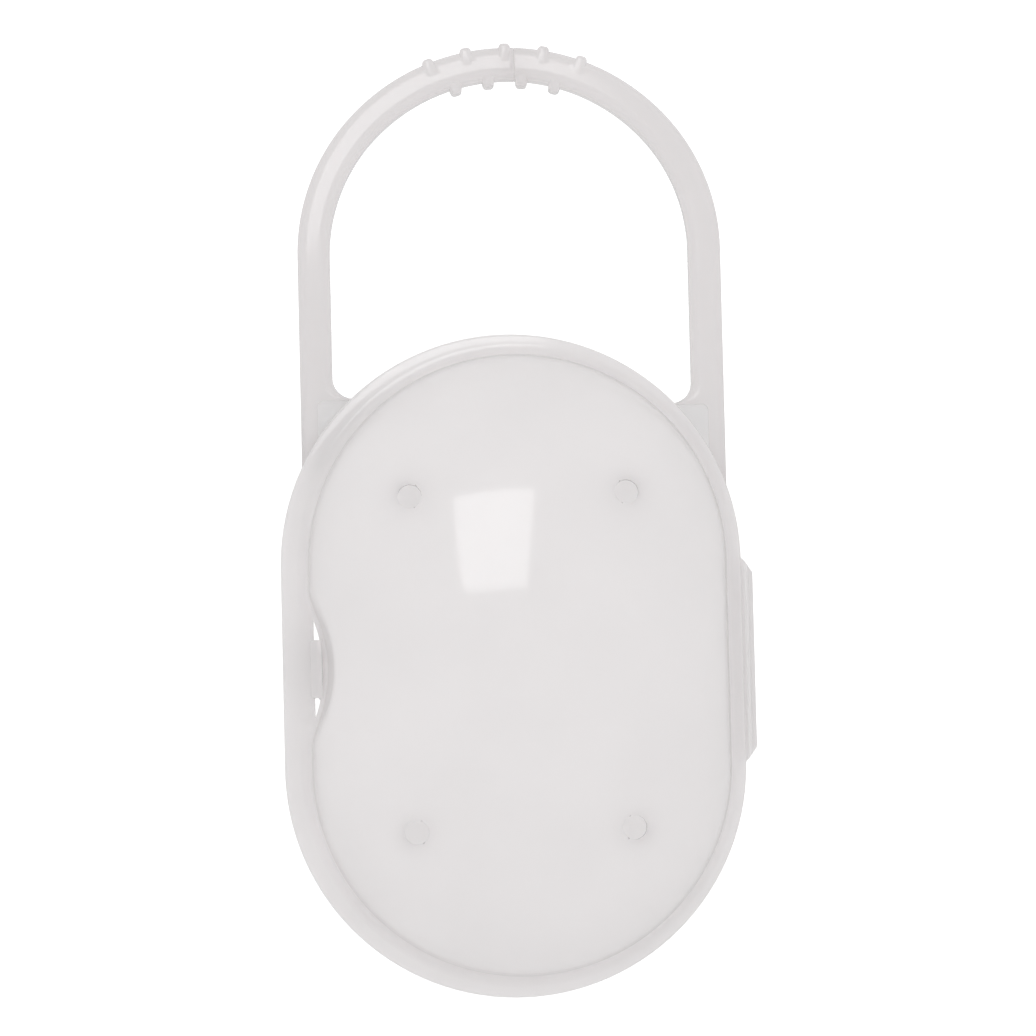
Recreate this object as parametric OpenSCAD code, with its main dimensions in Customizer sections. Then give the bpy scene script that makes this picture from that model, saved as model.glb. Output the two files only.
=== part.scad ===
// Travel and sterilizer case for a pacifier: two domed half shells of milky polypropylene that
// close rim to rim, with a film hinge on the right, a snap tongue in a thumb recess on the left
// and a split carrying handle at the top. The case lies on the flat of its base with the lid up.
// The origin is the middle of that flat, +X points to the hinge, +Y to the handle, +Z out of the lid.

/* [Case] */
// Width of the closed case across its rim
body_w = 68; // [64:1:80]
// Length of the straight stretch of the rim between its two round ends
body_straight = 29.9; // [26:0.1:40]
// Height of the parting plane above the face the case rests on
base_depth = 22; // [18:0.5:28]
// Height of the lid above the parting plane
lid_depth = 22; // [18:0.5:28]
// Thickness of the shell walls
wall = 1.5; // [1.2:0.1:2]
// Mean width of the flat rim that stands out round both shells
rim_w = 3.2; // [2.6:0.1:4]
// How far the rim lies towards the latch, so that it is wider there than at the hinge
rim_shift = 0.9; // [0:0.1:1.2]
// Thickness of the rim of each half
rim_t = 2; // [1.6:0.1:2.6]
// Gap between the two closed rims
rim_gap = 0.3; // [0.2:0.05:0.5]
// How much the base would bulge below its resting face if it were not cut flat
base_bulge = 2; // [1:0.25:4]

/* [Locating lip] */
// Height of the base's lip above the parting plane
lip_h = 1.5; // [1:0.1:2.5]
// Thickness of the lip
lip_t = 1; // [0.8:0.1:1.4]
// Clearance between the lip and the inside of the lid
lip_clear = 0.3; // [0.3:0.05:0.5]
// Depth of the ledge below the parting plane that carries the lip
ledge_h = 3; // [2.6:0.1:4]

/* [Steam vents] */
// Diameter of each vent
vent_d = 3.5; // [2:0.1:5]
// Spacing of the vents across the lid
vent_dx = 31.4; // [24:0.1:36]
// Spacing of the vents along the lid
vent_dy = 48.5; // [36:0.5:56]

/* [Thumb recess and latch] */
// Radius of the thumb recess in plan, where it meets the rim
recess_r = 20.8; // [18:0.1:24]
// How far the recess reaches in from the outer edge of the rim
recess_depth = 6.4; // [6:0.1:7]
// Draft of the recess wall in degrees
recess_draft = 8; // [2:0.5:10]
// Width of the slot that the tongue stands in, between the keeper strip and the recess wall
slot_w = 1.8; // [1.7:0.1:2.7]
// Width of the tongue along the rim
tongue_w = 8.6; // [6:0.1:12]
// Thickness of the tongue's leaf
tongue_t = 0.6; // [0.5:0.1:0.7]
// Free length of the tongue below the parting plane
tongue_l = 9; // [7:0.5:11]
// Gap between the tongue's barb and the keeper
barb_clear = 0.3; // [0.3:0.05:0.4]
// How far the barb stands out from the leaf
barb_out = 0.2; // [0.15:0.05:0.3]
// Height of the tongue's head above the rim of the lid
head_h = 1.3; // [1:0.1:2]

/* [Hinge] */
// Length of the hinge along the rim
hinge_l = 30.5; // [20:0.5:36]
// How far the closed hinge stands out from the rim
hinge_out = 1.8; // [1.5:0.1:2.6]
// Outer radius of the folded hinge film
film_r = 0.75; // [0.7:0.05:1]
// Thickness of the hinge film
film_t = 0.35; // [0.3:0.05:0.4]
// Thickness of each hinge leaf
leaf_t = 1.6; // [1.2:0.1:2]

/* [Handle] */
// Outer width of the handle
handle_w = 63; // [58:0.1:64]
// Height of the foot of the handle's arch above the centre of the case
arch_y = 61.5; // [55:0.1:75]
// Flattening of the arch: how far the centres of its tighter shoulders lie from its middle
arch_flat = 1.35; // [0:0.05:2]
// Width of the handle's strap, seen from the front
strap_w = 4.8; // [4:0.1:6]
// Thickness of the handle's strap, front to back
handle_t = 5; // [4:0.1:6]
// Corner radius of the strap's section
strap_round = 1.4; // [0.8:0.1:1.8]
// Radius of the fillet between each leg and the rim
fillet_r = 3.2; // [2.5:0.1:4]
// Thickness of the thin web in each leg's root
web_t = 1.2; // [0.8:0.1:1.6]
// Depth of the web below the front face of the handle
web_drop = 0.8; // [0.4:0.1:0.8]
// Width of the solid border outside the web
web_border = 2.5; // [1.5:0.1:3]
// Distance from the top of the arch to the split, towards the hinge
split_x = 1.4; // [1.3:0.1:1.8]
// Width of the split between the two arms
split_gap = 0.3; // [0.3:0.05:0.6]
// Radial clearance where each arm flexes on its root
flex_clear = 0.1; // [0.05:0.01:0.1]

/* [Grip ribs] */
// Angle between neighbouring ribs on the same side of the strap
rib_pitch = 10.5; // [9:0.1:13]
// Width of a rib along the strap
rib_w = 1.9; // [1.4:0.1:2.4]
// How far the outer ribs stand out
rib_out = 0.5; // [0.3:0.05:0.8]
// How far the outer ribs wrap onto the front and the back of the strap
rib_wrap = 3; // [2:0.1:3.4]
// How far the outer ribs stand out of the front and the back of the strap
rib_face = 0.25; // [0.1:0.05:0.25]
// How far the inner ribs stand in
rib_in = 0.95; // [0.5:0.05:1.2]

/* [Hidden] */

$fn = 96;
milk = "whitesmoke";
eps = 0.01;
big = 200;

// The rim and the domes in plan
rim_r = body_w / 2;
half = body_straight / 2;
dome_r = rim_r - rim_w;

// Heights of the rims
base_top = base_depth - rim_gap / 2;
base_under = base_top - rim_t;
lid_low = base_depth + rim_gap / 2;
lid_rim_top = lid_low + rim_t;

// The domes follow s^p + h^q = 1, where s is the share of the dome's plan size and h of its height
dome_p = 2.2;
dome_q = 2.2;
end_steps = 24;
ring_steps = 13;

// The thumb recess is a cone, upright outside the left side of the case
latch_edge = -rim_shift - rim_r;
recess_x = latch_edge + recess_depth - recess_r;
keeper_w = recess_depth - slot_w;
slot_x = latch_edge + keeper_w;
keeper_grip = 0.2;
keeper_half = sqrt(recess_r * recess_r - (slot_x - recess_x) * (slot_x - recess_x)) + keeper_grip;

// The tongue
barb_x = slot_x + barb_clear;
leaf_out_x = barb_x + barb_out;
leaf_in_x = leaf_out_x + tongue_t;
head_in = 0.1;
barb_seat = 0.25;
tongue_low = base_depth - tongue_l;
tongue_seat = 0.05;
foot_t = 1.2;

// The hinge
hinge_edge = rim_r - rim_shift;
leaf_x = hinge_edge + hinge_out - film_r;
leaf_slope = 1.3;
leaf_len_in = hinge_l / 2;
leaf_len_out = hinge_l / 2 - leaf_slope * (leaf_x - hinge_edge);
film_len = hinge_l / 2 - leaf_slope * hinge_out;

// The handle
arch_out = handle_w / 2;
arch_mid = arch_out - strap_w / 2;
leg_in = arch_out - strap_w;
shoulder_r = arch_mid - arch_flat;
top_r = shoulder_r + arch_flat * sqrt(2);
top_out = top_r + strap_w / 2;
top_in = top_r - strap_w / 2;
handle_mid = base_top - handle_t / 2;
fillet_x = leg_in - fillet_r;
fillet_sink = 0.2;
root_rise = 0.6;
flex_y = fillet_y(-1) + handle_t / 2 + root_rise;
root_top = flex_y - 1;
web_top_gap = 0.5;
web_ledge = 0.8;

// Height in plan of the rim's edge at a given distance from the middle of the handle
function rim_y(x) = half + sqrt(max(0, rim_r * rim_r - pow(x + rim_shift, 2)));

// Height in plan of the centre of a leg's fillet, on the side given by its sign
function fillet_y(side) = rim_y(side * fillet_x) + fillet_r - fillet_sink;

// One closed ring of the stadium, anticlockwise
function ring(r, h, z) = [
    for (end = [1, -1]) for (i = [0:end_steps])
        let (a = (end > 0 ? 0 : 180) + i * 180 / end_steps)
        [r * cos(a), r * sin(a) + end * h, z]
];

module stadium(r) {
    for (end = [1, -1]) translate([0, end * half]) circle(r);
    square([2 * r, 2 * half], center = true);
}

module rim_plan() {
    translate([-rim_shift, 0]) stadium(rim_r);
}

// Solid dome on a straight skirt: z from low to start is upright, then it closes at top
module dome(r, start, top, low) {
    count = 2 * (end_steps + 1);
    steps = [for (k = [0:ring_steps - 1]) 90 * (1 - k / ring_steps)];
    shares = [for (t = steps) pow(sin(t), 2 / dome_p)];
    heights = [for (t = steps) start + (top - start) * pow(cos(t), 2 / dome_q)];
    points = concat(
        ring(r, half, low),
        [for (k = [0:ring_steps - 1]) each ring(r * shares[k], half * shares[k], heights[k])],
        [[0, 0, top]]);
    apex = len(points) - 1;
    faces = concat(
        [[for (i = [0:count - 1]) i]],
        [for (k = [0:ring_steps - 1]) for (i = [0:count - 1]) for (half_quad = [0, 1])
            let (a = k * count + i, b = k * count + (i + 1) % count)
            half_quad == 0 ? [a, a + count, b + count] : [a, b + count, b]],
        [for (i = [0:count - 1])
            let (a = ring_steps * count)
            [a + i, apex, a + (i + 1) % count]]);
    polyhedron(points, faces);
}

// Upright cone of the thumb recess, grown by an allowance
module recess(grow) {
    height = lid_depth + base_depth;
    translate([recess_x, 0, rim_t])
        cylinder(h = height, r1 = recess_r + grow, r2 = recess_r + grow + height * tan(recess_draft));
    translate([recess_x, 0, -rim_t]) cylinder(h = 2 * rim_t + eps, r = recess_r + grow);
}

// One half shell with its parting face at z = 0, its dome upwards and cut flat at flat_z
module half_shell(top, flat_z) {
    difference() {
        union() {
            linear_extrude(rim_t) rim_plan();
            difference() {
                dome(dome_r, rim_t, top, rim_t / 2);
                difference() {
                    recess(0);
                    translate([-big / 2, -big / 2, -big]) cube([big, big, big + rim_t]);
                }
                translate([-big / 2, -big / 2, flat_z]) cube(big);
            }
        }
        difference() {
            dome(dome_r - wall, rim_t, top - wall, -1);
            recess(wall);
            translate([-big / 2, -big / 2, flat_z - wall]) cube(big);
        }
        latch_slot();
    }
}

// Opening through the rim between the keeper strip and the recess wall
module latch_slot() {
    translate([0, 0, -1]) linear_extrude(rim_t + 1 + eps) intersection() {
        translate([recess_x, 0]) circle(recess_r);
        translate([slot_x, -big / 2]) square([big, big]);
    }
}

// Outline of the lip: the inside of the lid less an allowance
module lip_outline(inset) {
    difference() {
        stadium(dome_r - wall - inset);
        translate([recess_x, 0]) circle(recess_r + wall + inset);
    }
}

// Lip that stands up inside the lid, on a ledge that joins it to the wall
module lip() {
    difference() {
        union() {
            translate([0, 0, base_top - ledge_h]) linear_extrude(ledge_h) lip_outline(-wall / 2);
            translate([0, 0, base_top - eps])
                linear_extrude(base_depth + lip_h - base_top + eps) lip_outline(lip_clear);
        }
        translate([0, 0, base_top - ledge_h - 1]) linear_extrude(ledge_h + lip_h + rim_gap + 2)
            lip_outline(lip_clear + lip_t);
    }
}

// Foot in the base's recess that carries the tongue
module latch_foot() {
    foot_top = tongue_low - tongue_t / 2 - tongue_seat;
    intersection() {
        translate([leaf_out_x, -tongue_w / 2, foot_top - foot_t])
            cube([recess_depth, tongue_w, foot_t]);
        translate([0, 0, base_top]) mirror([0, 0, 1]) dome(dome_r, rim_t, base_top + base_bulge, 0);
        translate([0, 0, base_top]) mirror([0, 0, 1]) recess(wall / 2);
    }
}

module base_shell() {
    color(milk) union() {
        translate([0, 0, base_top]) mirror([0, 0, 1]) half_shell(base_top + base_bulge, base_top);
        lip();
        latch_foot();
    }
}

module lid_shell() {
    color(milk) difference() {
        translate([0, 0, lid_low]) half_shell(base_depth + lid_depth - lid_low, big);
        keeper_block();
        for (x = [-1, 1], y = [-1, 1]) translate([x * vent_dx / 2, y * vent_dy / 2, lid_low])
            cylinder(h = lid_depth + 1, d = vent_d);
    }
}

// Stretch of the lid's rim outside the latch slot
module keeper_block() {
    translate([latch_edge - 1, -keeper_half, lid_low - eps])
        cube([keeper_w + 1, 2 * keeper_half, rim_t + 2 * eps]);
}

module latch_keeper() {
    color(milk) translate([latch_edge, -keeper_half, lid_low]) cube([keeper_w, 2 * keeper_half, rim_t]);
}

// Leaf on a half-round root, with a barb that faces out and a head to press on
module latch_tongue() {
    barb_z = lid_rim_top + barb_seat;
    head_z = lid_rim_top + head_h;
    mid_x = (leaf_out_x + leaf_in_x) / 2;
    color(milk) translate([0, tongue_w / 2, 0]) rotate([90, 0, 0]) linear_extrude(tongue_w) union() {
        translate([mid_x, tongue_low]) circle(tongue_t / 2);
        polygon([
            [leaf_out_x, tongue_low], [leaf_in_x, tongue_low],
            [leaf_in_x, barb_z], [leaf_in_x + head_in, barb_z + head_in],
            [leaf_in_x + head_in, head_z], [leaf_out_x, head_z],
            [barb_x, barb_z + barb_seat], [barb_x, barb_z], [leaf_out_x, barb_z]]);
    }
}

// Hinge leaf in plan, tapered at both ends
module leaf_plan() {
    polygon([
        [hinge_edge, -leaf_len_in], [leaf_x, -leaf_len_out],
        [leaf_x, leaf_len_out], [hinge_edge, leaf_len_in]]);
}

module hinge_base_leaf() {
    color(milk) translate([0, 0, base_top - leaf_t]) linear_extrude(leaf_t) leaf_plan();
}

module hinge_lid_leaf() {
    color(milk) translate([0, 0, lid_low]) linear_extrude(leaf_t) leaf_plan();
}

// Thin film folded in a half tube round the parting plane
module hinge_film() {
    color(milk) translate([leaf_x, film_len, base_depth]) rotate([90, 0, 0])
        linear_extrude(2 * film_len) difference() {
            circle(film_r);
            circle(film_r - film_t);
            translate([-2 * film_r, -2 * film_r]) square([2 * film_r, 4 * film_r]);
        }
}

// Rounded rectangle centred on the origin
module round_rect(w, h, r) {
    square([w - 2 * r, h], center = true);
    square([w, h - 2 * r], center = true);
    for (x = [-1, 1], y = [-1, 1]) translate([x * (w / 2 - r), y * (h / 2 - r)]) circle(r);
}

// Root of one leg, on the side given by its sign
module handle_root(side) {
    low = rim_y(side * arch_out);
    shoulder = fillet_y(side);
    web_x = arch_out - web_border;
    web_y = shoulder - fillet_r + fillet_sink - web_top_gap;
    color(milk) mirror([side > 0 ? 0 : 1, 0, 0]) difference() {
        translate([0, 0, base_top - handle_t]) linear_extrude(handle_t) union() {
            translate([leg_in, shoulder]) square([strap_w, root_top - shoulder]);
            difference() {
                translate([fillet_x, low]) square([fillet_r + strap_w, shoulder - low]);
                translate([fillet_x, shoulder]) circle(fillet_r);
            }
        }
        translate([-side * rim_shift, 0, base_under]) linear_extrude(rim_t + 1) stadium(rim_r);
        translate([0, 0, base_under - handle_t]) linear_extrude(handle_t + eps) stadium(dome_r + 0.05);
        translate([0, low - 1, base_top - web_drop]) cube([web_x, web_y - low + 1, handle_t]);
        translate([0, 0, base_top - web_drop - web_t - handle_t]) linear_extrude(handle_t) difference() {
            translate([0, low - 1]) square([web_x, web_y - low + 1]);
            translate([-side * rim_shift, 0]) stadium(rim_r + web_ledge);
        }
        translate([leg_in - 1, flex_y, handle_mid]) rotate([0, 90, 0])
            cylinder(h = strap_w + 2, r = handle_t / 2 + flex_clear);
    }
}

// One rib, lying across the strap at an angle from the top of the arch
module rib(angle, r_from, r_to, thick) {
    sweep = rib_w / top_out * 180 / PI;
    rotate([0, 0, 90 + angle - sweep / 2]) rotate_extrude(angle = sweep)
        translate([(r_from + r_to) / 2, 0]) round_rect(r_to - r_from, thick, 0.4);
}

// The whole arch with its legs and grip ribs, before it is split: an eighth of a turn round each
// shoulder, and a quarter turn of larger radius between them
module arch() {
    translate([0, arch_y, handle_mid]) {
        for (side = [0, 1]) mirror([side, 0, 0]) translate([arch_flat, 0, 0])
            rotate_extrude(angle = 45) translate([shoulder_r, 0])
                round_rect(strap_w, handle_t, strap_round);
        translate([0, -arch_flat, 0]) {
            rotate([0, 0, 45]) rotate_extrude(angle = 90) translate([top_r, 0])
                round_rect(strap_w, handle_t, strap_round);
            for (k = [-2:2])
                rib(k * rib_pitch, top_out - rib_wrap, top_out + rib_out, handle_t + 2 * rib_face);
            for (k = [-1.5:1.5])
                rib(k * rib_pitch, top_in - rib_in, top_in + strap_w / 2, handle_t - 2 * rib_face);
        }
    }
    for (side = [-1, 1]) translate([side * arch_mid, arch_y, handle_mid]) {
        rotate([90, 0, 0]) linear_extrude(arch_y - flex_y) round_rect(strap_w, handle_t, strap_round);
        translate([-strap_w / 2, flex_y - arch_y, 0]) rotate([0, 90, 0])
            cylinder(h = strap_w, r = handle_t / 2);
    }
}

// One arm of the handle, from its flexing root to the split
module handle_arm(side) {
    edge = split_x + side * split_gap / 2;
    color(milk) difference() {
        arch();
        translate([side > 0 ? edge - big : edge, -big / 2, -big / 2]) cube(big);
    }
}

module handle_root_left() { handle_root(-1); }
module handle_root_right() { handle_root(1); }
module handle_arm_left() { handle_arm(-1); }
module handle_arm_right() { handle_arm(1); }

base_shell();
handle_root_left();
handle_root_right();
handle_arm_left();
handle_arm_right();
hinge_base_leaf();
hinge_film();
latch_tongue();
lid_shell();
hinge_lid_leaf();
latch_keeper();
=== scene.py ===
import math
import bmesh
import bpy
from mathutils import Matrix, Vector


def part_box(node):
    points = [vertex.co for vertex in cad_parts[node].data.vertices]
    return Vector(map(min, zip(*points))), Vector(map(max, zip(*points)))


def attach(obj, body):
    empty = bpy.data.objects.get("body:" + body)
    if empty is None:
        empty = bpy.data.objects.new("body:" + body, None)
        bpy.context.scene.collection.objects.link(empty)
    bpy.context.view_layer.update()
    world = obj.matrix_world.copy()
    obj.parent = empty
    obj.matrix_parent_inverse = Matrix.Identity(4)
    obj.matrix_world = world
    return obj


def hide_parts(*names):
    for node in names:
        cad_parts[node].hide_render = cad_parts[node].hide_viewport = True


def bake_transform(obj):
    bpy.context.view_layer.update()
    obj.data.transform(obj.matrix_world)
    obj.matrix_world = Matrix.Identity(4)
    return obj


# Pacifier sterilizer case in milky polypropylene: two domed shells on a film hinge,
# a snap tongue in a thumb recess and a split carrying handle. All pieces are built in
# millimetres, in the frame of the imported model, and brought to metres when they are finished.
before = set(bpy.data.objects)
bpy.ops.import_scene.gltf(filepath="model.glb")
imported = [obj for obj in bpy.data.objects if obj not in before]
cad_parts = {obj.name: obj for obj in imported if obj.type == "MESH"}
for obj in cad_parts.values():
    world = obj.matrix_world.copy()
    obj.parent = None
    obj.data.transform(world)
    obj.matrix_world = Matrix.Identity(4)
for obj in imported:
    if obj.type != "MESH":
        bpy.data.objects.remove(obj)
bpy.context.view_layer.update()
mm = 0.001
print("frame loaded:", len(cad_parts), "nodes")


def nodeBox(node):
    low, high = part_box(node)
    return Vector(low) / mm, Vector(high) / mm


lidLow, lidHigh = nodeBox("lid_shell")
baseLow, baseHigh = nodeBox("base_shell")
keeperLow, keeperHigh = nodeBox("latch_keeper")
tongueLow, tongueHigh = nodeBox("latch_tongue")

# Sizes that the two shells share, in mm
case = {
    "rimRadius": (lidHigh.x - lidLow.x) / 2,
    "straight": lidHigh.y - (lidHigh.x - lidLow.x) / 2,   # half of the rim's straight stretch
    "rimShift": -(lidHigh.x + lidLow.x) / 2,              # the rim lies this far towards the latch
    "rimWidth": 3.2,
    "rimThick": keeperHigh.z - keeperLow.z,
    "wall": 1.5,
    "domePower": 2.2,
    "flatSoft": 1.2,                                      # how softly the base's dome runs into its flat
    "lidFace": lidLow.z,                                  # parting face of each half
    "baseFace": nodeBox("hinge_base_leaf")[1].z,
    "ringSteps": 120,
    "sideCuts": 47,
    "domeSteps": 64,
}
domeRadius = case["rimRadius"] - case["rimWidth"]


# Node helpers for the materials
def linear(hexColour):
    parts = [int(hexColour[i:i + 2], 16) / 255 for i in (1, 3, 5)]
    return [c / 12.92 if c <= 0.04045 else ((c + 0.055) / 1.055) ** 2.4 for c in parts] + [1]


def addNode(tree, kind, settings=None, values=None, links=None):
    # settings are the node's own properties, values its sockets, links the sockets fed by others
    made = tree.nodes.new(kind)
    for name, value in (settings or {}).items():
        setattr(made, name, value)
    for name, value in (values or {}).items():
        made.inputs[name].default_value = value
    for name, source in (links or {}).items():
        tree.links.new(source, made.inputs[name])
    return made


# Injection-moulded natural polypropylene from a polished mould: milky because light scatters
# inside the wall and half of it comes out on the far side, so that hollows stay as bright as
# the outside; glossy on its skin, with a faint orange peel and a bloom of uneven gloss
plastic = {
    "thin": "#FFFEFE",          # painted light: the lighter tone of the 1.5 mm walls, lit through from the hollow behind them
    "thick": "#FEFDFD",         # painted shade: the darker tone of the rims, where more of the light is lost
    "bar": "#F6F4F4",           # painted shade: the darker tone of the solid bars, where most of the light is lost
    "web": "#FFFFFF",           # painted light: the brightest tone, for the thin webs at the handle's roots, lit from below
    "edge": "#D2CECF",          # painted shade: a darker tone for the cut edges round the vents, which read as fine shaded rings
    "passes": {"shell": 0.7, "web": 0.85, "bar": 0.7, "edge": 0.3},  # share of the light that goes through; the web's higher share is part of its painted light, the vent edge's lower one part of its painted shade
    "rimShadeReach": (0.0, 16.0),  # painted shade: the shells' tone lightens from the rims' darker tone to the walls' lighter one over this distance from the rims, mm
    "ior": 1.49,
    "roughness": (0.05, 0.1),
    "scatter": 2.0,             # mean free path of the light that comes back out, mm
    "peelSize": 3.0,            # waviness of the skin, mm
    "peelDepth": 0.004,
    "grainSize": 0.5,           # fine mould texture, drawn as coarse as it shows
    "cloudSize": 14.0,          # gloss and tone drift with the flow of the melt, mm
}


def milkyPolypropylene(name, through, full, litAwayTone=None, rimShadeLevel=0.0):
    # through is the share of the light that passes the skin and goes on to the far side;
    # the tone is full at the given level and turns to the second tone away from it: painted shade at the
    # rims, painted light on the walls beyond
    made = bpy.data.materials.new(name)
    made.use_nodes = True
    tree = made.node_tree
    tree.nodes.clear()
    place = addNode(tree, "ShaderNodeTexCoord").outputs["Object"]
    cloud = addNode(tree, "ShaderNodeTexNoise", values={
        "Scale": 1 / (plastic["cloudSize"] * mm), "Detail": 3, "Roughness": 0.5}, links={"Vector": place})
    peel = addNode(tree, "ShaderNodeTexNoise", values={
        "Scale": 1 / (plastic["peelSize"] * mm), "Detail": 1}, links={"Vector": place})
    grain = addNode(tree, "ShaderNodeTexNoise", values={
        "Scale": 1 / (plastic["grainSize"] * mm), "Detail": 2}, links={"Vector": place})
    tone = addNode(tree, "ShaderNodeHueSaturation", values={"Color": linear(full)})
    # painted shade: with a second tone, the colour is darker at the given level and lightens away from it
    if litAwayTone:
        level = addNode(tree, "ShaderNodeSeparateXYZ", links={"Vector": place}).outputs["Z"]
        rise = addNode(tree, "ShaderNodeMath", {"operation": "SUBTRACT"}, {1: rimShadeLevel * mm}, {0: level})
        away = addNode(tree, "ShaderNodeMath", {"operation": "ABSOLUTE"}, links={0: rise.outputs[0]})
        share = addNode(tree, "ShaderNodeMapRange", {"interpolation_type": "SMOOTHSTEP"}, {
            "From Min": plastic["rimShadeReach"][0] * mm, "From Max": plastic["rimShadeReach"][1] * mm},
            {"Value": away.outputs[0]})
        paintedRimShade = addNode(tree, "ShaderNodeMix", {"data_type": "RGBA"}, {
            "A": linear(full), "B": linear(litAwayTone)}, {"Factor": share.outputs["Result"]})
        tree.links.new(paintedRimShade.outputs["Result"], tone.inputs["Color"])
    drift = addNode(tree, "ShaderNodeMapRange", values={
        "From Min": 0.3, "From Max": 0.7, "To Min": 0.98, "To Max": 1.0},
        links={"Value": cloud.outputs["Fac"]})
    tree.links.new(drift.outputs["Result"], tone.inputs["Value"])
    gloss = addNode(tree, "ShaderNodeMapRange", values={
        "From Min": 0.3, "From Max": 0.7,
        "To Min": plastic["roughness"][0], "To Max": plastic["roughness"][1]},
        links={"Value": cloud.outputs["Fac"]})
    wave = addNode(tree, "ShaderNodeBump", values={
        "Strength": 0.35, "Distance": plastic["peelDepth"] * mm}, links={"Height": peel.outputs["Fac"]})
    skin = addNode(tree, "ShaderNodeBump", values={
        "Strength": 0.12, "Distance": plastic["peelDepth"] * mm},
        links={"Height": grain.outputs["Fac"], "Normal": wave.outputs["Normal"]})
    shader = addNode(tree, "ShaderNodeBsdfPrincipled", values={
        "Specular IOR Level": 0.0, "Roughness": 0.6, "Subsurface Weight": 0.2,
        "Subsurface Radius": (1.0, 0.94, 0.9), "Subsurface Scale": plastic["scatter"] * mm,
        "Subsurface Anisotropy": 0.0},
        links={"Base Color": tone.outputs["Color"], "Normal": skin.outputs["Normal"]})
    passed = addNode(tree, "ShaderNodeBsdfTranslucent", links={
        "Color": tone.outputs["Color"], "Normal": skin.outputs["Normal"]})
    wall = addNode(tree, "ShaderNodeMixShader", values={0: through}, links={
        1: shader.outputs["BSDF"], 2: passed.outputs["BSDF"]})
    # the glossy skin lies on the outside only: light that meets the skin from within passes it
    mirror = addNode(tree, "ShaderNodeBsdfGlossy", links={
        "Roughness": gloss.outputs["Result"], "Normal": skin.outputs["Normal"]})
    fresnel = addNode(tree, "ShaderNodeFresnel", values={"IOR": plastic["ior"]},
                      links={"Normal": skin.outputs["Normal"]})
    within = addNode(tree, "ShaderNodeNewGeometry").outputs["Backfacing"]
    outside = addNode(tree, "ShaderNodeMath", {"operation": "SUBTRACT"}, {0: 1.0}, {1: within})
    share = addNode(tree, "ShaderNodeMath", {"operation": "MULTIPLY"}, links={
        0: fresnel.outputs["Fac"], 1: outside.outputs[0]})
    glossy = addNode(tree, "ShaderNodeMixShader", links={
        0: share.outputs[0], 1: wall.outputs["Shader"], 2: mirror.outputs["BSDF"]})
    addNode(tree, "ShaderNodeOutputMaterial", links={"Surface": glossy.outputs["Shader"]})
    return made


# lit and shaded copies of one plastic: painted shade at the rims, on the bars and round the vents, painted
# light on the thin walls and the webs
shellPaintedRimShadePlastic = milkyPolypropylene("milkyPolypropyleneShellPaintedRimShade", plastic["passes"]["shell"], plastic["thick"],
                                 plastic["thin"], (case["lidFace"] + case["baseFace"]) / 2)
webPaintedLightPlastic = milkyPolypropylene("milkyPolypropyleneWebPaintedLight", plastic["passes"]["web"], plastic["web"])
barPaintedShadePlastic = milkyPolypropylene("milkyPolypropyleneBarPaintedShade", plastic["passes"]["bar"], plastic["bar"])
ventRingPaintedShadePlastic = milkyPolypropylene("milkyPolypropyleneVentRingPaintedShade", plastic["passes"]["edge"], plastic["edge"])
print("materials made")


# Turning a bmesh into a finished piece
def toObject(name, bm):
    bmesh.ops.remove_doubles(bm, verts=bm.verts, dist=0.0005)
    bmesh.ops.recalc_face_normals(bm, faces=bm.faces)
    mesh = bpy.data.meshes.new(name)
    bm.to_mesh(mesh)
    bm.free()
    made = bpy.data.objects.new(name, mesh)
    bpy.context.scene.collection.objects.link(made)
    return made


def applyModifiers(piece):
    graph = bpy.context.evaluated_depsgraph_get()
    mesh = bpy.data.meshes.new_from_object(piece.evaluated_get(graph))
    piece.modifiers.clear()
    old, piece.data = piece.data, mesh
    bpy.data.meshes.remove(old)


def combine(piece, other, operation):
    step = piece.modifiers.new(operation.lower(), "BOOLEAN")
    step.operation = operation
    step.object = other
    step.solver = "EXACT"
    applyModifiers(piece)
    bpy.data.objects.remove(other)


def finishPiece(piece, material, edgeRound, roundFrom=32, smoothTo=40):
    # rounds what is still sharp, shades the rest smooth and brings the piece to metres
    if edgeRound:
        step = piece.modifiers.new("rounding", "BEVEL")
        step.width = edgeRound
        step.segments = 2
        step.limit_method = "ANGLE"
        step.angle_limit = math.radians(roundFrom)
        step.use_clamp_overlap = True
        step.harden_normals = False
        applyModifiers(piece)
    bm = bmesh.new()
    bm.from_mesh(piece.data)
    bmesh.ops.scale(bm, vec=(mm, mm, mm), verts=bm.verts)
    for face in bm.faces:
        face.smooth = True
    for edge in bm.edges:
        edge.smooth = edge.calc_face_angle(0) < math.radians(smoothTo)
    bm.to_mesh(piece.data)
    bm.free()
    piece.data.materials.clear()
    piece.data.materials.append(material)


# The two shells are lofted ring by ring over the same outline; an upright cone hollows the latch side
recess = {
    "depth": 6.4,                           # how far the cone reaches in from the rim's edge
    "radius": 20.8,                         # its radius at the rim
    "draft": math.tan(math.radians(8)),
    "soft": 1.0,                            # rounding where it breaks out of the dome
}
recess["centre"] = keeperLow.x + recess["depth"] - recess["radius"]


def smoothMax(a, b, soft):
    near = max(soft - abs(a - b), 0) / soft
    return max(a, b) + near * near * soft / 4


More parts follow.
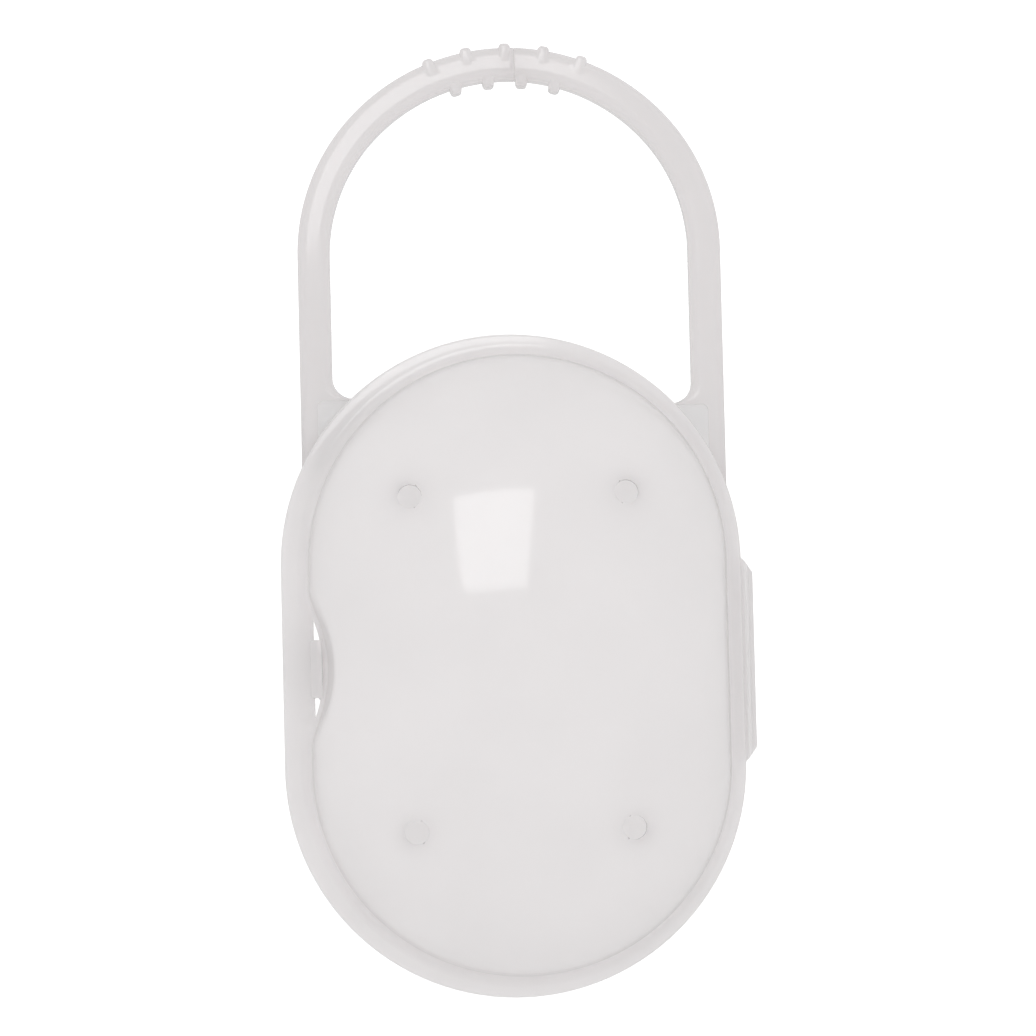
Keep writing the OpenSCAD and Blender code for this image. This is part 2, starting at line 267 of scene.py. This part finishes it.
def startRing(bm, plan):
    # a circle in two halves, with the long sides between them cut fine
    turn = Matrix.Rotation(math.pi / case["ringSteps"], 3, "Z")
    verts = bmesh.ops.create_circle(bm, segments=case["ringSteps"], radius=1)["verts"]
    bmesh.ops.rotate(bm, verts=verts, matrix=turn)
    for side in (-1, 1):
        bmesh.ops.translate(bm, verts=[v for v in verts if v.co.y * side > 0 and abs(v.co.y) <= 1],
                            vec=(0, side * 2, 0))
    longSides = [e for e in bm.edges if e.verts[0].co.y * e.verts[1].co.y < 0]
    bmesh.ops.subdivide_edges(bm, edges=longSides, cuts=case["sideCuts"])
    for vert in bm.verts:
        along = max(-1, min(1, vert.co.y / 2))
        across = vert.co.y - 2 * along
        sideways = math.copysign(1, vert.co.x) if abs(along) < 1 else vert.co.x
        vert[plan] = (sideways, across, along)
    return list(bm.edges)


def ring(radius, height, straight=None, shift=0.0, grow=None):
    # one contour: height is counted from the parting face, grow is the recess's own offset
    return {"radius": radius, "height": height, "shift": shift, "grow": grow,
            "straight": case["straight"] if straight is None else straight}


def placeRing(verts, plan, spec, face, up):
    for vert in verts:
        sideways, across, along = vert[plan]
        x = sideways * spec["radius"] - spec["shift"]
        y = across * spec["radius"] + along * spec["straight"]
        if spec["grow"] is not None:
            reach = recess["radius"] + spec["grow"]
            reach += max(0, spec["height"] - case["rimThick"]) * recess["draft"]
            if x < 0 and abs(y) < reach:
                x = smoothMax(x, recess["centre"] + math.sqrt(reach * reach - y * y), recess["soft"])
        vert.co = (x, y, face + up * spec["height"])


def loftShell(name, rings, face, up):
    bm = bmesh.new()
    plan = bm.verts.layers.float_vector.new("plan")
    edges = startRing(bm, plan)
    placeRing(bm.verts, plan, rings[0], face, up)
    first = list(bm.verts)
    for spec in rings[1:]:
        made = bmesh.ops.extrude_edge_only(bm, edges=edges)["geom"]
        verts = [g for g in made if isinstance(g, bmesh.types.BMVert)]
        fresh = set(verts)
        edges = [g for g in made if isinstance(g, bmesh.types.BMEdge)
                 and g.verts[0] in fresh and g.verts[1] in fresh]
        placeRing(verts, plan, spec, face, up)
    for end, spec in ((first, rings[0]), (verts, rings[-1])):
        bmesh.ops.pointmerge(bm, verts=end, merge_co=(0, 0, face + up * spec["height"]))
    return toObject(name, bm)


def domeRings(radius, start, top, grow, flat=None):
    # from the crown out to the foot
    rings = []
    power = 2 / case["domePower"]
    for step in range(1, case["domeSteps"]):
        turn = math.pi / 2 * step / case["domeSteps"]
        share = math.sin(turn) ** power
        height = start + (top - start) * math.cos(turn) ** power
        if flat is not None:
            height = -smoothMax(-height, -flat, case["flatSoft"])
        rings.append(ring(radius * share, height, case["straight"] * share, grow=grow))
    return rings


def quarter(radius, height, size, outward, upward, grow=None, shift=0.0, steps=4, rising=True):
    # rounded corner between an upright face at radius and a level one at height;
    # size is the rounding, outward and upward say on which side its material lies
    rings = []
    for step in range(steps + 1):
        turn = math.pi / 2 * step / steps
        turn = turn if rising else math.pi / 2 - turn
        off = outward * size * (1 - math.cos(turn))
        rings.append(ring(radius - off, height - upward * size * (1 - math.sin(turn)),
                          shift=shift, grow=None if grow is None else grow + off))
    return rings


rimTop = case["rimThick"]
# roundings at the dome's foot, at the rim's edge and on the lips; what stays sharp gets a finish rounding
footRound, edgeRound, lipRound = 1.7, 0.4, 0.3
finishRound = {"shell": 0.14, "tongue": 0.12, "strip": 0.1, "bar": 0.16}


def outerRings(top, flat=None):
    dome = domeRings(domeRadius, rimTop, top, 0, flat)
    rings = [r for r in dome if r["height"] > rimTop + footRound + 0.3]
    rings += quarter(domeRadius, rimTop, footRound, -1, -1, grow=0, steps=7)
    rings += [ring(domeRadius + footRound + 0.2, rimTop, grow=-footRound - 0.2)]
    rings += quarter(case["rimRadius"], rimTop, edgeRound, 1, 1, shift=case["rimShift"], rising=False)
    rings += quarter(case["rimRadius"], 0, edgeRound / 2, 1, -1, shift=case["rimShift"])
    return rings


def lidRings():
    inner, grow = domeRadius - case["wall"], case["wall"]
    rings = outerRings(lidHigh.z - lidLow.z)
    rings += quarter(inner, 0, lipRound, -1, -1, grow=grow, rising=False)
    rings += [ring(inner, rimTop * share, grow=grow) for share in (0.5, 0.9)]
    rings += domeRings(inner, rimTop, lidHigh.z - lidLow.z - case["wall"], grow)[::-1]
    return rings


lidDome = loftShell("lidDome", lidRings(), case["lidFace"], 1)
print("lid lofted:", len(lidDome.data.vertices), "vertices")

lip = {"clear": 0.3, "thick": 1.0, "top": case["baseFace"] - baseHigh.z, "ledge": 3.0, "bulge": 2.0}


def baseRings():
    inner, grow = domeRadius - case["wall"], case["wall"]
    outerLip, innerLip = inner - lip["clear"], inner - lip["clear"] - lip["thick"]
    growOuter, growInner = grow + lip["clear"], grow + lip["clear"] + lip["thick"]
    flat = case["baseFace"]
    rings = outerRings(flat + lip["bulge"], flat)
    rings += quarter(outerLip, 0, 0.2, -1, 1, grow=growOuter, rising=False)
    rings += quarter(outerLip, lip["top"], lipRound, 1, -1, grow=growOuter)
    rings += quarter(innerLip, lip["top"], lipRound, -1, -1, grow=growInner, rising=False)
    rings += [ring(innerLip, lip["ledge"] * share, grow=growInner) for share in (0.2, 0.6)]
    rings += quarter(innerLip, lip["ledge"], lipRound, -1, 1, grow=growInner)
    rings += quarter(inner, lip["ledge"], lipRound, 1, -1, grow=grow, rising=False)
    dome = domeRings(inner, rimTop, flat + lip["bulge"] - case["wall"], grow, flat - case["wall"])
    rings += [r for r in dome if r["height"] > lip["ledge"] + 2 * lipRound][::-1]
    return rings


baseBowl = loftShell("baseBowl", baseRings(), case["baseFace"], -1)
print("base lofted:", len(baseBowl.data.vertices), "vertices")

# Vents through the lid and the slot behind the keeper strip
openings = {
    "ventDiameter": 3.5, "ventX": 15.7, "ventY": 24.25,
    "ventShadeRingWidth": 0.2,            # a face this close round a vent gets the painted shade of the vent ring
    "slotX": keeperHigh.x,
    "slotLedge": 0.12,          # the slot stops this far short of the recess wall
    "slotOver": 0.5,            # its cutter goes this far past the rim
}


def slotCutter(low, high):
    bm = bmesh.new()
    bmesh.ops.create_circle(bm, cap_ends=True, segments=240, radius=recess["radius"] - openings["slotLedge"])
    bmesh.ops.translate(bm, verts=bm.verts, vec=(recess["centre"], 0, low))
    bmesh.ops.bisect_plane(bm, geom=bm.verts[:] + bm.edges[:] + bm.faces[:], dist=0.0001,
                           plane_co=(openings["slotX"], 0, 0), plane_no=(1, 0, 0), clear_inner=True)
    made = bmesh.ops.extrude_face_region(bm, geom=bm.faces[:])["geom"]
    bmesh.ops.translate(bm, verts=[g for g in made if isinstance(g, bmesh.types.BMVert)],
                        vec=(0, 0, high - low))
    return toObject("slotCutter", bm)


def ventCutter():
    bm = bmesh.new()
    for x in (-openings["ventX"], openings["ventX"]):
        for y in (-openings["ventY"], openings["ventY"]):
            made = bmesh.ops.create_cone(
                bm, cap_ends=True, segments=64, radius1=openings["ventDiameter"] / 2,
                radius2=openings["ventDiameter"] / 2, depth=lidHigh.z)
            bmesh.ops.translate(bm, verts=made["verts"], vec=(x, y, lidHigh.z))
    return toObject("ventCutter", bm)


combine(lidDome, ventCutter(), "DIFFERENCE")
combine(lidDome, slotCutter(case["lidFace"] - 1, case["lidFace"] + rimTop + openings["slotOver"]),
        "DIFFERENCE")
combine(baseBowl, slotCutter(case["baseFace"] - rimTop - openings["slotOver"], case["baseFace"] + 1),
        "DIFFERENCE")


# The latch: a foot in the base's recess carries the tongue, whose barb hooks over the keeper strip
latch = {
    "leaf": 0.6, "head": 0.1, "headRise": 0.3, "corner": 0.4,
    "barbGap": 0.2, "barbRise": 0.45, "overlap": 0.5,
    "footDeep": 3.0, "footThick": 1.2, "footOver": 0.1,
    "cuts": 15, "cutStep": 0.25,     # level cuts above the root, where the leaf bends
}
latch["outer"] = tongueHigh.x - latch["head"] - latch["leaf"]


def latchFoot():
    top = tongueLow.z + latch["footOver"]
    size = (latch["footDeep"], tongueHigh.y - tongueLow.y, latch["footThick"])
    bm = bmesh.new()
    bmesh.ops.create_cube(bm, size=1)
    bmesh.ops.scale(bm, vec=size, verts=bm.verts)
    bmesh.ops.translate(bm, verts=bm.verts, vec=(
        latch["outer"] + latch["footDeep"] / 2, 0, top - latch["footThick"] / 2))
    return toObject("latchFoot", bm)


combine(baseBowl, latchFoot(), "UNION")
finishPiece(lidDome, shellPaintedRimShadePlastic, finishRound["shell"])
# painted shade: faces round a vent's cut edge get a darker copy of the plastic, for the light lost sideways
# there, so the edge reads as a fine ring
lidDome.data.materials.append(ventRingPaintedShadePlastic)
for face in lidDome.data.polygons:
    corners = [lidDome.data.vertices[index].co / mm for index in face.vertices]
    off = max(math.hypot(abs(c.x) - openings["ventX"], abs(c.y) - openings["ventY"]) for c in corners)
    if off < openings["ventDiameter"] / 2 + openings["ventShadeRingWidth"]:
        face.material_index = 1
finishPiece(baseBowl, shellPaintedRimShadePlastic, finishRound["shell"])
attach(lidDome, "lid")
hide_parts("lid_shell", "latch_keeper")
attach(baseBowl, "base")
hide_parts("base_shell")
print("shells finished")


# Snap tongue: a leaf with the barb and a rounded head to press on
def snapTongue():
    leafOut, leafIn = latch["outer"], latch["outer"] + latch["leaf"]
    top, barbZ = tongueHigh.z, keeperHigh.z + latch["barbGap"]
    barbX = keeperHigh.x - latch["overlap"]
    outline = [(leafOut, tongueLow.z), (leafIn, tongueLow.z), (leafIn, barbZ),
               (tongueHigh.x, barbZ + latch["headRise"]), (tongueHigh.x, top), (leafOut, top),
               (barbX, barbZ + latch["barbRise"]), (barbX, barbZ), (leafOut, barbZ)]
    bm = bmesh.new()
    verts = [bm.verts.new((x, tongueLow.y, z)) for x, z in outline]
    bm.faces.new(verts)
    made = bmesh.ops.extrude_face_region(bm, geom=bm.faces[:])["geom"]
    bmesh.ops.translate(bm, verts=[g for g in made if isinstance(g, bmesh.types.BMVert)],
                        vec=(0, tongueHigh.y - tongueLow.y, 0))
    # the upright corners of the barb and the head's outer face
    corners = [e for e in bm.edges if abs(e.verts[0].co.y - e.verts[1].co.y) < 0.01
               and max(v.co.x for v in e.verts) <= leafOut + 0.01
               and min(v.co.z for v in e.verts) >= barbZ - 0.01
               and abs(e.verts[0].co.z - e.verts[1].co.z) > 0.1]
    bmesh.ops.bevel(bm, geom=corners, offset=latch["corner"], segments=4, profile=0.5,
                    affect="EDGES", material=-1)
    for step in range(1, latch["cuts"] + 1):
        bmesh.ops.bisect_plane(bm, geom=bm.verts[:] + bm.edges[:] + bm.faces[:], dist=0.0001,
                               plane_co=(0, 0, tongueLow.z + step * latch["cutStep"]), plane_no=(0, 0, 1))
    return toObject("snapTongue", bm)


tongue = snapTongue()
finishPiece(tongue, shellPaintedRimShadePlastic, finishRound["tongue"])
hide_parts("latch_tongue")
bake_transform(tongue)


# Hinge strip: a leaf on each rim and the film folded round between them
hingeLow, hingeHigh = nodeBox("hinge_base_leaf")
filmLow, filmHigh = nodeBox("hinge_film")
hinge = {"leafThick": 1.6, "sink": 0.15, "corner": 0.35, "slope": 1.3, "filmThick": 0.35, "groove": 0.45}


def hingeStrip():
    x0, x1 = hingeLow.x, hingeHigh.x
    mid = (filmLow.z + filmHigh.z) / 2
    outer, inner = filmHigh.x - x1, filmHigh.x - x1 - hinge["filmThick"]
    gap = mid - case["baseFace"]
    upper = [(x0 - hinge["sink"], gap), (x1, gap), (x1, inner)]
    upper += [(x1 + inner * math.sin(math.radians(a)), inner * math.cos(math.radians(a)))
              for a in range(9, 91, 9)]
    outside = [(x1 + outer * math.sin(math.radians(a)), outer * math.cos(math.radians(a)))
               for a in range(90, -1, -9)]
    # the leaf's rounded outer corner, its face and the groove along the rim
    top, groove = gap + hinge["leafThick"], hinge["groove"]
    outside += [(x1, top - hinge["corner"]), (x1 - hinge["corner"] * 0.6, top), (x0 + groove * 1.3, top),
                (x0 + groove * 0.8, top - groove), (x0 - hinge["sink"], top - groove)]
    loop = upper + [(x, -z) for x, z in upper[-2::-1]]
    loop += [(x, -z) for x, z in outside[::-1]] + outside[1:]
    bm = bmesh.new()
    verts = [bm.verts.new((x, hingeLow.y, mid + z)) for x, z in loop]
    bm.faces.new(verts)
    made = bmesh.ops.extrude_face_region(bm, geom=bm.faces[:])["geom"]
    bmesh.ops.translate(bm, verts=[g for g in made if isinstance(g, bmesh.types.BMVert)],
                        vec=(0, hingeHigh.y - hingeLow.y, 0))
    half = (hingeHigh.y - hingeLow.y) / 2
    for vert in bm.verts:
        vert.co.y *= (half - hinge["slope"] * max(0, vert.co.x - x0)) / half
    return toObject("hingeStrip", bm)


strip = hingeStrip()
finishPiece(strip, shellPaintedRimShadePlastic, finishRound["strip"])
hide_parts("hinge_base_leaf", "hinge_lid_leaf", "hinge_film")
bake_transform(strip)
print("latch and hinge finished")

# Handle: one bar a side from the rim over the arch to the split, with ribs round the top
handle = {
    "outer": nodeBox("handle_arm_right")[1].x, "strap": 4.8, "thick": 5.0, "corner": 1.4,
    "archFlat": 1.35, "fillet": 3.2, "filletSink": 0.2, "splitX": 1.4, "splitGap": 0.06,
    "ribPitch": 10.5, "ribWidth": 1.9, "ribOut": 0.5, "ribIn": 0.95, "ribWrap": 3.0, "ribFace": 0.25,
    "ribRound": 0.6, "ribTip": 0.85, "ribFoot": 1.2,
    "webBorder": 2.5, "webDrop": 0.8, "webThick": 1.2, "webTopGap": 0.5, "webLedge": 0.8,
    "webCorner": 0.9, "webInner": 15, "webUnder": 9,
    "rimSink": 0.03, "domeSink": 0.1,    # the root reaches this far into the rim and the dome
}
handleTop = case["baseFace"]
handleMid = handleTop - handle["thick"] / 2
archMid = handle["outer"] - handle["strap"] / 2
legIn = handle["outer"] - handle["strap"]
shoulderRadius = archMid - handle["archFlat"]
topRadius = shoulderRadius + handle["archFlat"] * math.sqrt(2)
topOuter, topInner = topRadius + handle["strap"] / 2, topRadius - handle["strap"] / 2
topCentre = nodeBox("handle_arm_left")[1].y - handle["ribOut"] - topOuter
archY = topCentre + handle["archFlat"]


def rimHeight(x, side):
    # y of the rim's edge at a distance x from the handle's middle, on the given side
    return case["straight"] + math.sqrt(case["rimRadius"] ** 2 - (side * x + case["rimShift"]) ** 2)


def barSection(bm):
    # rounded rectangle across the bar, made from a circle whose quarters are moved apart
    verts = bmesh.ops.create_circle(bm, segments=28, radius=handle["corner"])["verts"]
    bmesh.ops.rotate(bm, verts=verts, matrix=Matrix.Rotation(math.pi / 28, 3, "Z"))
    bmesh.ops.rotate(bm, verts=verts, matrix=Matrix.Rotation(math.pi / 2, 3, "X"))
    for vert in verts:
        vert.co.x += math.copysign(handle["strap"] / 2 - handle["corner"], vert.co.x)
        vert.co.z += math.copysign(handle["thick"] / 2 - handle["corner"], vert.co.z)
    flats = [e for e in bm.edges if e.calc_length() > handle["corner"] * 0.5]
    bmesh.ops.subdivide_edges(bm, edges=flats, cuts=3)
    bmesh.ops.translate(bm, verts=bm.verts, vec=(archMid, archY, handleMid))
    return list(bm.edges)


def nextSection(bm, edges):
    made = bmesh.ops.extrude_edge_only(bm, edges=edges)["geom"]
    verts = [g for g in made if isinstance(g, bmesh.types.BMVert)]
    fresh = set(verts)
    return [g for g in made if isinstance(g, bmesh.types.BMEdge)
            and g.verts[0] in fresh and g.verts[1] in fresh], verts


def handleBar(side):
    # built on the +X side; the left one is mirrored at the end
    shoulder = rimHeight(legIn - handle["fillet"], side) + handle["fillet"] - handle["filletSink"]
    low = rimHeight(handle["outer"], side)
    bm = bmesh.new()
    start = barSection(bm)
    edges = start
    # sections down the leg, close together where the arm bends
    stops = [archY - 2, 54, 51.5] + [50 - 0.5 * k for k in range(13)] + [43.75]
    for y in [s for s in stops if s > shoulder + 0.2] + [shoulder]:
        edges, verts = nextSection(bm, edges)
        for vert in verts:
            vert.co.y = y
    for step in range(1, 13):
        turn = math.pi / 2 * step / 12
        edges, verts = nextSection(bm, edges)
        for vert in verts:
            vert.co.y = shoulder - handle["fillet"] * math.sin(turn)
        inward = handle["fillet"] * (math.cos(math.pi / 2 * (step - 1) / 12) - math.cos(turn))
        for vert in verts:
            if vert.co.x < archMid:
                vert.co.x -= inward
    edges, verts = nextSection(bm, edges)
    for vert in verts:
        vert.co.y = low
    bmesh.ops.contextual_create(bm, geom=edges)
    edges = start
    # tighter round the shoulder, then over the top a little past the split
    for centre, degrees, steps in (((handle["archFlat"], archY, 0), 45, 24), ((0, topCentre, 0), 50, 28)):
        for step in range(steps):
            edges, verts = nextSection(bm, edges)
            bmesh.ops.rotate(bm, verts=verts, cent=centre,
                             matrix=Matrix.Rotation(math.radians(degrees / steps), 3, "Z"))
    bmesh.ops.contextual_create(bm, geom=edges)
    return toObject("handleBar" + ("Right" if side > 0 else "Left"), bm), shoulder, low


def ribBlock(bm, angle, inner, outer, thick, foot):
    # a rounded bump across the strap, narrower at its tip; foot is its thickness at the end
    # that sinks into the strap
    made = bmesh.ops.create_cube(bm, size=1)
    bmesh.ops.scale(bm, vec=(abs(outer - inner), handle["ribWidth"], thick), verts=made["verts"])
    edges = list({e for v in made["verts"] for e in v.link_edges})
    rounded = bmesh.ops.bevel(bm, geom=edges, offset=handle["ribRound"], segments=5, profile=0.5,
                              affect="EDGES", material=-1)
    verts = list({v for f in rounded["faces"] for v in f.verts})
    side = 1 if outer > inner else -1
    for vert in verts:
        sunk = 0.5 - side * vert.co.x / abs(outer - inner)
        vert.co.z *= 1 + (foot / thick - 1) * sunk
        vert.co.y *= handle["ribTip"] + (handle["ribFoot"] - handle["ribTip"]) * sunk
    bmesh.ops.translate(bm, verts=verts, vec=((inner + outer) / 2, 0, 0))
    bmesh.ops.rotate(bm, verts=verts, matrix=Matrix.Rotation(angle, 3, "Z"))
    bmesh.ops.translate(bm, verts=verts, vec=(0, topCentre, handleMid))


def gripRibs(side):
    # ribs that lie on this side of the split, as the right-hand arm sees them
    bm = bmesh.new()
    edge = side * handle["splitX"]
    for k in (-2, -1, 0, 1, 2, -1.5, -0.5, 0.5, 1.5):
        angle = math.radians(90 + k * handle["ribPitch"])
        if topOuter * math.cos(angle) < edge:
            continue
        if k == int(k):
            ribBlock(bm, angle, topOuter - handle["ribWrap"], topOuter + handle["ribOut"],
                     handle["thick"] + 2 * handle["ribFace"], handle["thick"] - 0.2)
        else:
            ribBlock(bm, angle, topInner + handle["strap"] / 2, topInner - handle["ribIn"],
                     handle["thick"] - 2 * handle["ribFace"], handle["thick"] - 2 * handle["ribFace"])
    return toObject("gripRibs", bm)


def prism(name, radius, centreX, low, high):
    bm = bmesh.new()
    verts = bmesh.ops.create_circle(bm, cap_ends=True, segments=240, radius=radius)["verts"]
    bmesh.ops.rotate(bm, verts=verts, matrix=Matrix.Rotation(math.pi / 240, 3, "Z"))
    for vert in verts:
        vert.co.y += math.copysign(case["straight"], vert.co.y)
    bmesh.ops.translate(bm, verts=verts, vec=(centreX, 0, low))
    made = bmesh.ops.extrude_face_region(bm, geom=bm.faces[:])["geom"]
    bmesh.ops.translate(bm, verts=[g for g in made if isinstance(g, bmesh.types.BMVert)],
                        vec=(0, 0, high - low))
    return toObject(name, bm)


def block(name, low, high, corner=0.0):
    bm = bmesh.new()
    bmesh.ops.create_cube(bm, size=1)
    low, high = Vector(low), Vector(high)
    bmesh.ops.scale(bm, vec=high - low, verts=bm.verts)
    bmesh.ops.translate(bm, verts=bm.verts, vec=(low + high) / 2)
    if corner:
        upright = [e for e in bm.edges if abs(e.verts[0].co.z - e.verts[1].co.z) > 0.01]
        bmesh.ops.bevel(bm, geom=upright, offset=corner, segments=6, profile=0.5, affect="EDGES", material=-1)
    return toObject(name, bm)


def makeHandle(side, nodes):
    bar, shoulder, low = handleBar(side)
    combine(bar, gripRibs(side), "UNION")
    edge = side * handle["splitX"] + handle["splitGap"] / 2
    combine(bar, block("splitCut", (edge - 30, 80, 0), (edge, 100, 40)), "DIFFERENCE")
    under = case["baseFace"] - rimTop
    centre = -side * case["rimShift"]
    combine(bar, prism("rimCut", case["rimRadius"] - handle["rimSink"], centre, under, handleTop + 1),
            "DIFFERENCE")
    combine(bar, prism("domeCut", domeRadius - handle["domeSink"], 0, handleTop - 2 * handle["thick"],
                       under + 0.001), "DIFFERENCE")
    webX = handle["outer"] - handle["webBorder"]
    webY = shoulder - handle["fillet"] + handle["filletSink"] - handle["webTopGap"]
    front = handleTop - handle["webDrop"]
    # pockets in front of the web and behind it leave it thin between its borders
    combine(bar, block("webFront", (handle["webInner"], low - 4, front), (webX, webY, handleTop + 3),
                       handle["webCorner"]), "DIFFERENCE")
    back = block("webBack", (handle["webInner"], low - 4, front - handle["webThick"] - handle["webUnder"]),
                 (webX, webY, front - handle["webThick"]), handle["webCorner"])
    combine(back, prism("webLedge", case["rimRadius"] + handle["webLedge"], centre, 0, 40), "DIFFERENCE")
    combine(bar, back, "DIFFERENCE")
    if side < 0:
        bm = bmesh.new()
        bm.from_mesh(bar.data)
        bmesh.ops.scale(bm, vec=(-1, 1, 1), verts=bm.verts)
        bmesh.ops.recalc_face_normals(bm, faces=bm.faces)
        bm.to_mesh(bar.data)
        bm.free()
    # painted shade: the bar gets the darker copy of the plastic, for the light lost in its solid section
    finishPiece(bar, barPaintedShadePlastic, finishRound["bar"])
    # painted light: the thin webs get the brightest copy of the plastic, for the light reaching them from
    # below
    bar.data.materials.append(webPaintedLightPlastic)
    for face in bar.data.polygons:
        x, y, z = face.center / mm
        if y < webY + 0.2 and abs(x) < webX + 0.2 and z < front + 0.1:
            face.material_index = 1
    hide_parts(*nodes)
    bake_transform(bar)


for side, body, word in ((-1, "handle_left", "left"), (1, "handle_right", "right")):
    makeHandle(side, ["handle_root_" + word, "handle_arm_" + word])
print("handle finished")


# Studio: a white table, an even white surround and one softbox that shows in the lid
studio = {
    "frameWidth": 153.3, "distance": 700.0, "target": (0.32, 21.7, 23.0),
    "roll": 1.4, "fromLeft": 1.4, "fromBelow": 3.3, "sensor": 36.0,
    "softbox": {"place": (-54, 212, 591), "facing": (-0.048, 0.891, 0.451), "across": (0.996, 0.021, 0.073),
                "size": (189, 300), "watts": 0.59},
}


def floorMaterial():
    # matt white table; the camera alone sees it burnt out to white, as on a product page
    made = bpy.data.materials.new("whiteTable")
    made.use_nodes = True
    tree = made.node_tree
    tree.nodes.clear()
    seen = addNode(tree, "ShaderNodeLightPath").outputs["Is Camera Ray"]
    lift = addNode(tree, "ShaderNodeMapRange", values={"To Min": 0.6, "To Max": 1.0}, links={"Value": seen})
    shader = addNode(tree, "ShaderNodeBsdfPrincipled", values={
        "Base Color": linear("#8C8C8C"), "Roughness": 0.9, "Specular IOR Level": 0.0,
        "Emission Color": linear("#FFFFFF")}, links={"Emission Strength": lift.outputs["Result"]})
    addNode(tree, "ShaderNodeOutputMaterial", links={"Surface": shader.outputs["BSDF"]})
    return made


def makeFloor():
    bm = bmesh.new()
    bmesh.ops.create_grid(bm, x_segments=1, y_segments=1, size=2.5)
    mesh = bpy.data.meshes.new("studioFloor")
    bm.to_mesh(mesh)
    bm.free()
    mesh.materials.append(floorMaterial())
    made = bpy.data.objects.new("studioFloor", mesh)
    bpy.context.scene.collection.objects.link(made)


def makeWorld():
    world = bpy.data.worlds.new("studioSurround")
    bpy.context.scene.world = world
    world.use_nodes = True
    tree = world.node_tree
    tree.nodes.clear()
    place = addNode(tree, "ShaderNodeTexCoord").outputs["Generated"]
    # brightest overhead and a little towards the handle and the hinge, dimmer near the table
    lean = addNode(tree, "ShaderNodeVectorMath", {"operation": "DOT_PRODUCT"}, {1: (0.12, 0.1, 0.98)},
                   {0: place})
    level = addNode(tree, "ShaderNodeMapRange", {"interpolation_type": "SMOOTHSTEP"}, {
        "From Min": -0.35, "From Max": 0.95, "To Min": 0.80, "To Max": 0.84},
        {"Value": lean.outputs["Value"]})
    glow = addNode(tree, "ShaderNodeBackground", values={"Color": (1, 1, 1, 1)},
                   links={"Strength": level.outputs["Result"]})
    addNode(tree, "ShaderNodeOutputWorld", links={"Surface": glow.outputs["Background"]})


def makeCamera():
    tilt = {key: math.radians(studio[key]) for key in ("roll", "fromLeft", "fromBelow")}
    target = Vector(studio["target"])
    back = Vector((-math.sin(tilt["fromLeft"]), -math.sin(tilt["fromBelow"]), 1)).normalized()
    right = Vector((math.sin(tilt["roll"]), math.cos(tilt["roll"]), 0)).cross(back).normalized()
    up = back.cross(right)
    turn = Matrix((right, up, back)).transposed().to_4x4()
    lens = bpy.data.cameras.new("productCamera")
    lens.sensor_width = studio["sensor"]
    lens.lens = studio["sensor"] * studio["distance"] / studio["frameWidth"]
    lens.clip_start = 0.01
    made = bpy.data.objects.new("productCamera", lens)
    made.matrix_world = Matrix.Translation((target + back * studio["distance"]) * mm) @ turn
    bpy.context.scene.collection.objects.link(made)
    bpy.context.scene.camera = made


def makeSoftbox():
    box = studio["softbox"]
    facing = Vector(box["facing"]).normalized()
    across = Vector(box["across"])
    across = (across - facing * across.dot(facing)).normalized()
    turn = Matrix((across, facing.cross(across), facing)).transposed().to_4x4()
    light = bpy.data.lights.new("softbox", "AREA")
    light.shape = "RECTANGLE"
    light.size, light.size_y = box["size"][0] * mm, box["size"][1] * mm
    light.energy = box["watts"]
    made = bpy.data.objects.new("softbox", light)
    made.matrix_world = Matrix.Translation(Vector(box["place"]) * mm) @ turn
    made.visible_camera = False
    bpy.context.scene.collection.objects.link(made)


makeFloor()
makeWorld()
makeSoftbox()
makeCamera()
bpy.context.scene.view_settings.view_transform = "Standard"
print("studio set")
